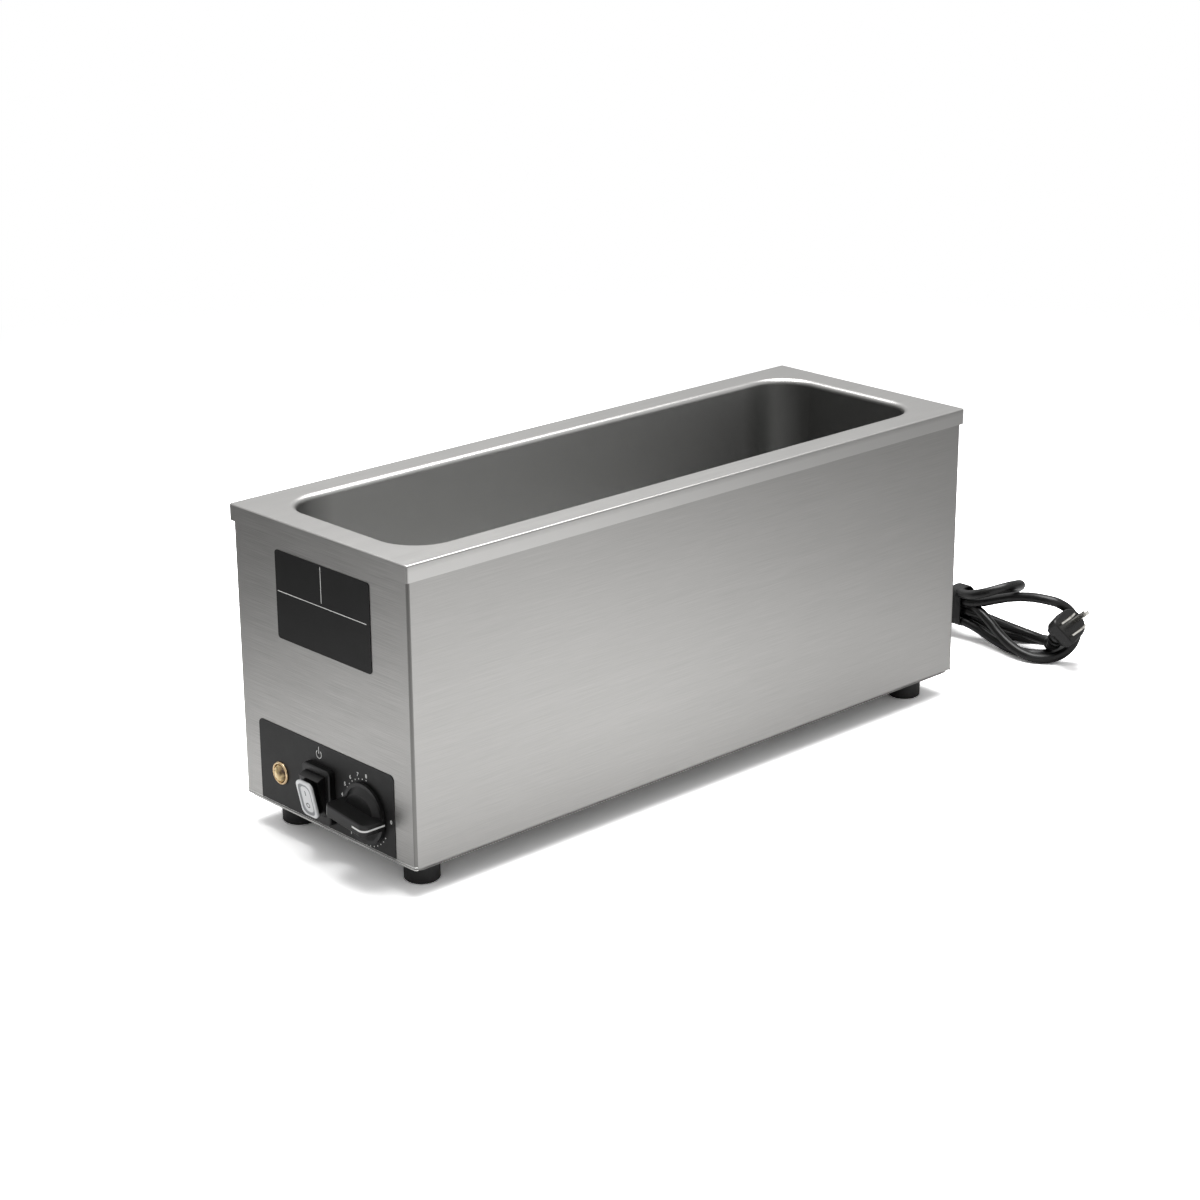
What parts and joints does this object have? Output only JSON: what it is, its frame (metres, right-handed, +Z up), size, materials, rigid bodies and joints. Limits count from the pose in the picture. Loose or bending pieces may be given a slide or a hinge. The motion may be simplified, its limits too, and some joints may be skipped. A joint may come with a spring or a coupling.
{
  "type": "countertop food warmer",
  "caption": "Long narrow electric countertop food warmer: one deep drawn well in a folded stainless body, dial, rocker switch, pilot light and cord.",
  "frame": {"origin": "on the standing surface, under the middle of the overall length (knob to cord gland) and width", "axes": "+Z up; Y along the body, with the controls facing -Y and the cord leaving at +Y; +X to the right of someone who faces the controls"},
  "size_m": [0.243, 0.7197, 0.235],
  "materials": {
    "brushed_rim": "brushed stainless steel, grain along the length",
    "brushed_body": "brushed stainless steel",
    "plain_steel": "mill-finish sheet",
    "zinc_steel": "zinc plate",
    "black_rubber": "matt",
    "grey_overlay": "satin, charcoal",
    "black_label": "satin, black",
    "bright_ring": "bright nickel",
    "amber_lens": "amber, faceted",
    "black_plastic": "fine moulded grain",
    "grey_plastic": "glossy",
    "white_inlay": "satin",
    "tab_brass": "plain",
    "element_sheath": "heat-darkened sheath",
    "shield_aluminium": "plain",
    "glass_wool": "glass fibre",
    "copper_tube": "copper",
    "white_ceramic": "moulded",
    "white_plastic": "moulded",
    "wire_black": "insulation",
    "wire_white": "insulation",
    "wire_green": "insulation",
    "cord_rubber": "satin jacket",
    "tie_black": "plastic tie"
  },
  "bodies": {
    "body": {"well_pan": "brushed_rim", "housing_wrap": "brushed_body", "seam_strip": "brushed_body", "bottom_cover": "plain_steel", "cover_screws": "zinc_steel", "feet": "black_rubber", "foot_screws": "zinc_steel", "foot_nuts": "zinc_steel", "rim_brackets": "plain_steel", "rim_studs": "zinc_steel", "rim_nuts": "zinc_steel", "control_overlay": "grey_overlay", "label_plate": "black_label", "pilot_bezel": "bright_ring", "pilot_lens": "amber_lens", "pilot_body": "black_plastic", "pilot_clip": "zinc_steel", "switch_body": "black_plastic", "switch_terminals": "tab_brass", "thermostat_body": "plain_steel", "thermostat_screws": "zinc_steel", "heating_element": "element_sheath", "clamp_bars": "plain_steel", "well_studs": "zinc_steel", "clamp_nuts": "zinc_steel", "shield_nuts": "zinc_steel", "heat_shield": "shield_aluminium", "insulation_pad": "glass_wool", "insulation_blanket": "glass_wool", "controls_baffle": "plain_steel", "sensing_bulb": "copper_tube", "bulb_clip": "plain_steel", "capillary_tube": "copper_tube", "high_limit_cutout": "white_ceramic", "high_limit_studs": "zinc_steel", "terminal_block": "white_plastic", "earth_stud": "zinc_steel", "wire_live": "wire_black", "wire_neutral": "wire_white", "wire_earth": "wire_green", "gland_body": "black_plastic", "gland_nut": "black_plastic", "supply_tail": "cord_rubber", "power_cord": "cord_rubber", "cord_hank": "cord_rubber", "cord_tie": "tie_black", "plug_body": "cord_rubber", "plug_blades": "tab_brass", "plug_earth_pin": "tab_brass"},
    "rocker": {"switch_rocker": "black_plastic", "rocker_cap": "grey_plastic"},
    "knob": {"knob": "black_plastic", "knob_pointer": "white_inlay", "thermostat_shaft": "tab_brass"}
  },
  "joints": [
    {"name": "thermostat_turn", "type": "hinge", "parent": "body", "child": "knob", "pos_m": [0.0434, -0.2699, 0.0477], "axis": [0, 1, 0], "range_deg": [0, 267]},
    {"name": "switch_rock", "type": "hinge", "parent": "body", "child": "rocker", "pos_m": [-0.005, -0.2744, 0.0487], "axis": [-1, 0, 0], "range_deg": [0, 25]}
  ]
}
